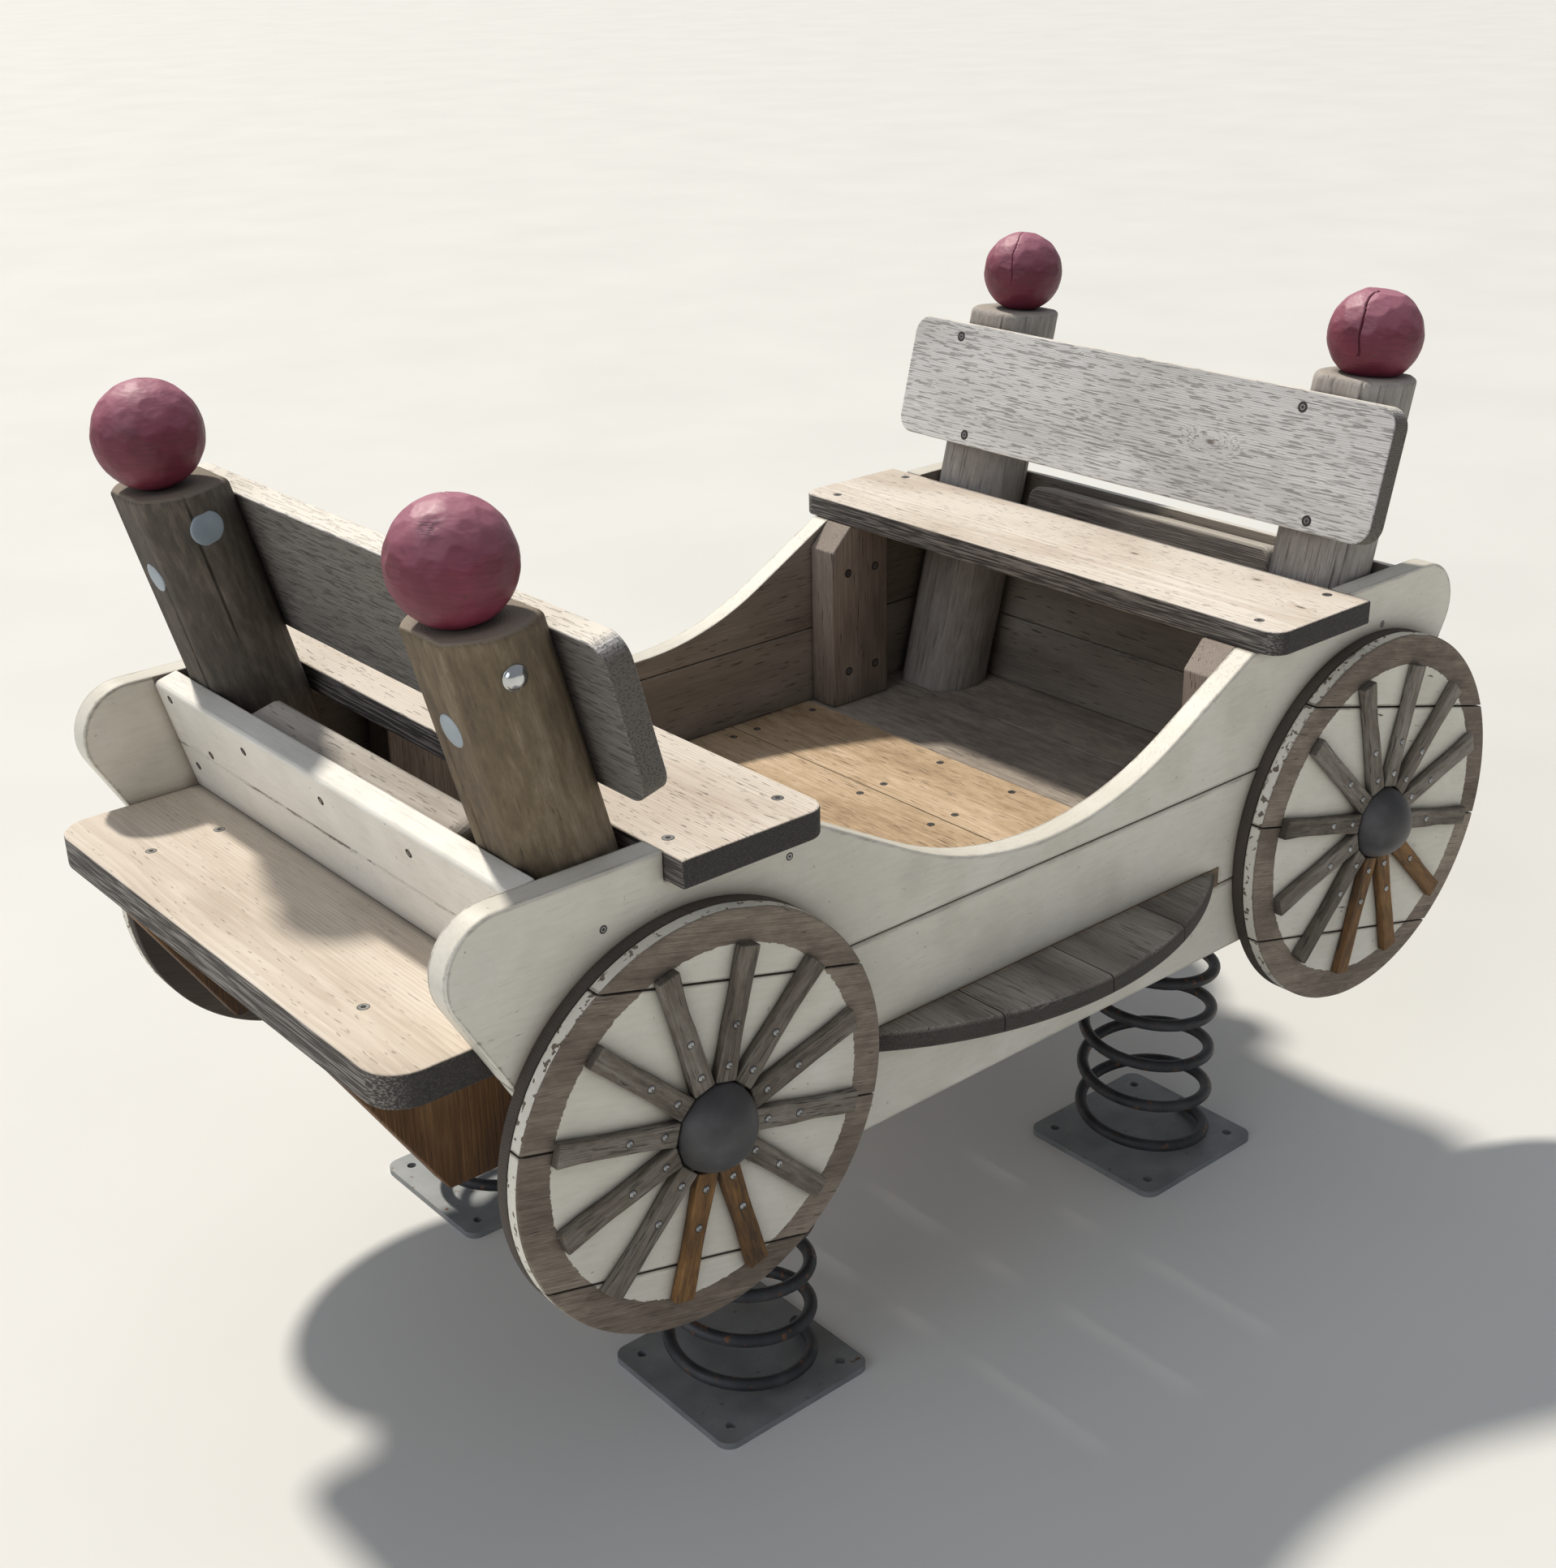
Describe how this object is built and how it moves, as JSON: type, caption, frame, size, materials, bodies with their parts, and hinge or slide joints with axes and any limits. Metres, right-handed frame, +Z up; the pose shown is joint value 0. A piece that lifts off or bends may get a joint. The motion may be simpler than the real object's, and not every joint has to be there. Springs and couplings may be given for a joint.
{
  "type": "spring-mounted playground carriage",
  "caption": "Wooden playground carriage on coil springs: painted plank sides with a dipped entrance, facing seats, leaning posts with balls, mock spoked wheels and a driver's bench.",
  "frame": {"origin": "on the ground under the middle of the carriage, level with the underside of the spring base plates", "axes": "+X towards the rear end, so the driver's bench is at -X; +Y to the right-hand side; +Z up"},
  "size_m": [1.908, 1.129, 1.2999],
  "materials": {
    "white_paint": "flaking white paint on softwood",
    "seat_wood": "bleached, weathered larch",
    "back_wood": "silver-grey weathered larch",
    "floor_wood": "bare, scuffed larch boards",
    "post_wood": "debarked grey-brown round timber",
    "dark_wood": "dark, damp-weathered boards",
    "wheel_wood": "bare boards and white painted middle",
    "spoke_wood": "stained brown battens",
    "bracket_wood": "orange-brown stained board",
    "pink_paint": "raspberry paint on turned wood",
    "hub_iron": "charcoal painted dome",
    "spring_steel": "dark, dirty spring steel",
    "plate_steel": "galvanised steel"
  },
  "bodies": {
    "root": {"bench_brackets": "bracket_wood", "cross_beams": "dark_wood", "driver_bench": "seat_wood", "floor_bearers": "dark_wood", "front_backrest": "back_wood", "front_end_boards": "white_paint", "front_end_bottom_board": "dark_wood", "front_floor_boards": "floor_wood", "front_inner_board": "post_wood", "front_left_ball": "pink_paint", "front_left_base_plate": "plate_steel", "front_left_post": "post_wood", "front_left_spring": "spring_steel", "front_left_wheel_backing": "dark_wood", "front_left_wheel_boards": "wheel_wood", "front_left_wheel_spokes": "spoke_wood", "front_right_ball": "pink_paint", "front_right_base_plate": "plate_steel", "front_right_post": "post_wood", "front_right_spring": "spring_steel", "front_right_wheel_backing": "dark_wood", "front_right_wheel_boards": "wheel_wood", "front_right_wheel_spokes": "spoke_wood", "front_seat": "seat_wood", "left_corner_blocks": "post_wood", "left_side_lower_plank": "white_paint", "left_side_middle_plank": "white_paint", "left_side_upper_plank": "white_paint", "rear_backrest": "back_wood", "rear_end_boards": "white_paint", "rear_end_bottom_board": "dark_wood", "rear_floor_boards": "floor_wood", "rear_inner_board": "post_wood", "rear_left_ball": "pink_paint", "rear_left_base_plate": "plate_steel", "rear_left_post": "post_wood", "rear_left_spring": "spring_steel", "rear_left_wheel_backing": "dark_wood", "rear_left_wheel_boards": "wheel_wood", "rear_left_wheel_spokes": "spoke_wood", "rear_right_ball": "pink_paint", "rear_right_base_plate": "plate_steel", "rear_right_post": "post_wood", "rear_right_spring": "spring_steel", "rear_right_wheel_backing": "dark_wood", "rear_right_wheel_boards": "wheel_wood", "rear_right_wheel_spokes": "spoke_wood", "rear_seat": "seat_wood", "right_corner_blocks": "post_wood", "right_side_lower_plank": "white_paint", "right_side_middle_plank": "white_paint", "right_side_upper_plank": "white_paint", "spring_top_plates": "plate_steel", "step_floor_boards": "floor_wood", "wheel_hubs": "hub_iron"}
  },
  "joints": []
}
